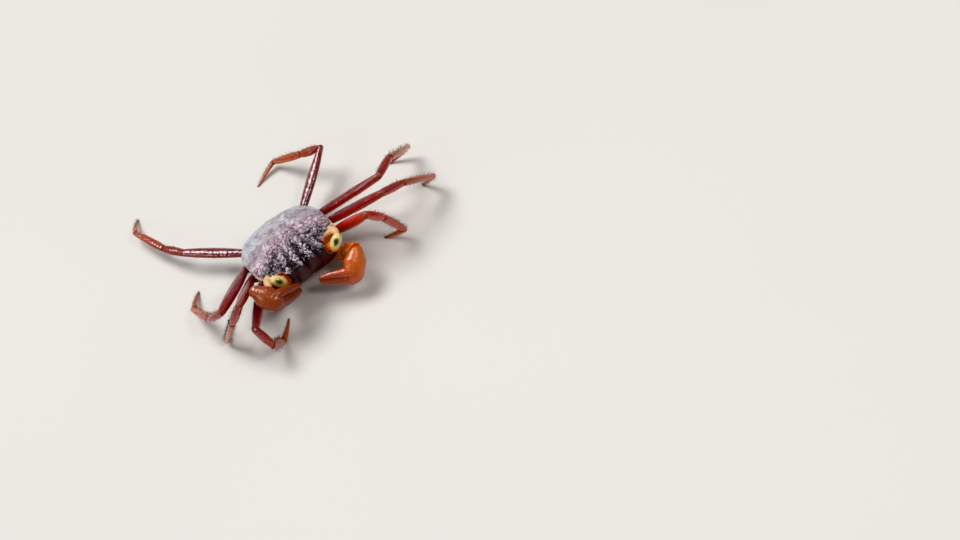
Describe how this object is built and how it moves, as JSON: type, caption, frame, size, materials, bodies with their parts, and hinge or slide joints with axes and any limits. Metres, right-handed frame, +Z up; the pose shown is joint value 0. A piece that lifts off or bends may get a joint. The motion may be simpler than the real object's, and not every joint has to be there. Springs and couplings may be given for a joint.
{
  "type": "vampire crab museum model",
  "caption": "Small land crab as a still life-size model, standing on its walking legs with both claws folded before its face.",
  "frame": {"origin": "centre of the bounding box, on the floor that the leg tips stand on", "axes": "+Z up, -Y the way the animal faces, +X towards its own left side"},
  "size_m": [0.0474, 0.0436, 0.0131],
  "materials": {
    "carapace_shell": "mauve-grey chitin, smooth behind, rugose and dark purple in front",
    "abdomen_shell": "thin dull red-brown chitin",
    "mouthpart_shell": "smooth maroon-brown chitin",
    "eyestalk": "translucent orange chitin",
    "eye": "wet yellow cornea with a dark olive middle",
    "antenna": "fine red-brown chitin",
    "claw_shell": "glossy translucent orange chitin",
    "leg_merus": "glossy burgundy chitin",
    "leg_carpus": "glossy dark red chitin",
    "leg_propodus": "glossy red to salmon chitin",
    "leg_dactyl": "salmon-orange chitin, paler at the tip"
  },
  "bodies": {
    "root": {"abdomen": "abdomen_shell", "antenna_left": "antenna", "antenna_right": "antenna", "carapace": "carapace_shell", "claw_left_carpus": "claw_shell", "claw_left_finger": "claw_shell", "claw_left_merus": "claw_shell", "claw_left_palm": "claw_shell", "claw_right_carpus": "claw_shell", "claw_right_finger": "claw_shell", "claw_right_merus": "claw_shell", "claw_right_palm": "claw_shell", "eye_left": "eye", "eye_right": "eye", "eyestalk_left": "eyestalk", "eyestalk_right": "eyestalk", "leg_left_1_carpus": "leg_carpus", "leg_left_1_dactyl": "leg_dactyl", "leg_left_1_merus": "leg_merus", "leg_left_1_propodus": "leg_propodus", "leg_left_2_carpus": "leg_carpus", "leg_left_2_dactyl": "leg_dactyl", "leg_left_2_merus": "leg_merus", "leg_left_2_propodus": "leg_propodus", "leg_left_3_carpus": "leg_carpus", "leg_left_3_dactyl": "leg_dactyl", "leg_left_3_merus": "leg_merus", "leg_left_3_propodus": "leg_propodus", "leg_left_4_carpus": "leg_carpus", "leg_left_4_dactyl": "leg_dactyl", "leg_left_4_merus": "leg_merus", "leg_left_4_propodus": "leg_propodus", "leg_right_1_carpus": "leg_carpus", "leg_right_1_dactyl": "leg_dactyl", "leg_right_1_merus": "leg_merus", "leg_right_1_propodus": "leg_propodus", "leg_right_2_carpus": "leg_carpus", "leg_right_2_dactyl": "leg_dactyl", "leg_right_2_merus": "leg_merus", "leg_right_2_propodus": "leg_propodus", "leg_right_3_carpus": "leg_carpus", "leg_right_3_dactyl": "leg_dactyl", "leg_right_3_merus": "leg_merus", "leg_right_3_propodus": "leg_propodus", "leg_right_4_carpus": "leg_carpus", "leg_right_4_dactyl": "leg_dactyl", "leg_right_4_merus": "leg_merus", "leg_right_4_propodus": "leg_propodus", "maxilliped_left": "mouthpart_shell", "maxilliped_right": "mouthpart_shell"}
  },
  "joints": []
}
